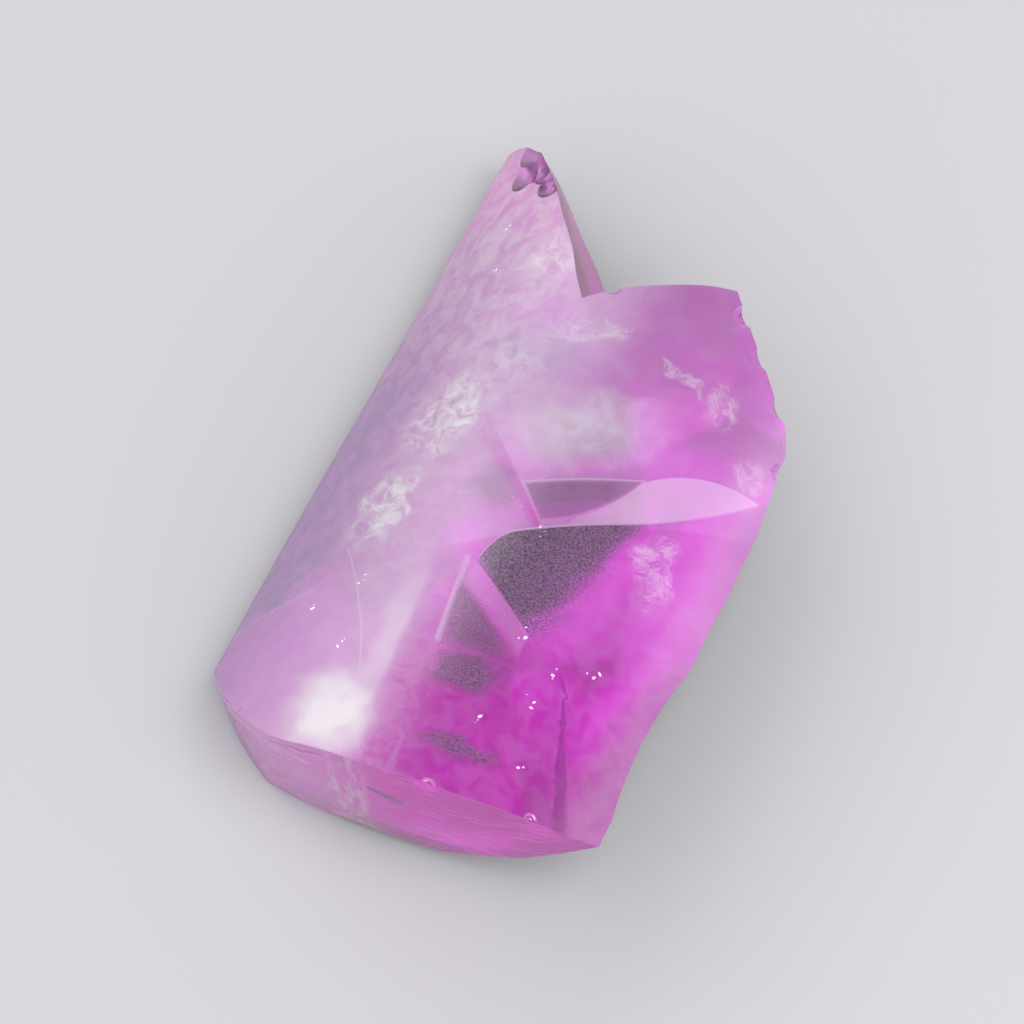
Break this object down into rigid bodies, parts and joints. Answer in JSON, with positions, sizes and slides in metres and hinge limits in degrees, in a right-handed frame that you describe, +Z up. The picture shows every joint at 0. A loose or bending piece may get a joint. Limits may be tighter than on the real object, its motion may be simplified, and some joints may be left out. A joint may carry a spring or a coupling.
{
  "type": "rough zircon crystal",
  "caption": "Rough pink crystal shard: a rounded frosted skin on top, glassy shell-shaped fractures round it, a pointed tongue beside an open notch, and a flat split face to rest on.",
  "frame": {"origin": "middle of the stone's box, on the split face that it rests on", "axes": "+Y along the rod that the stone was split from, towards the tip of the tongue; +Z up from the split face; +X towards the undercut right flank"},
  "size_m": [0.0344, 0.0588, 0.0171],
  "materials": {
    "crystal": "see-through pink crystal with a frosted, lightly scratched skin and glassy fracture faces"
  },
  "bodies": {
    "root": {"crystal": "crystal"}
  },
  "joints": []
}
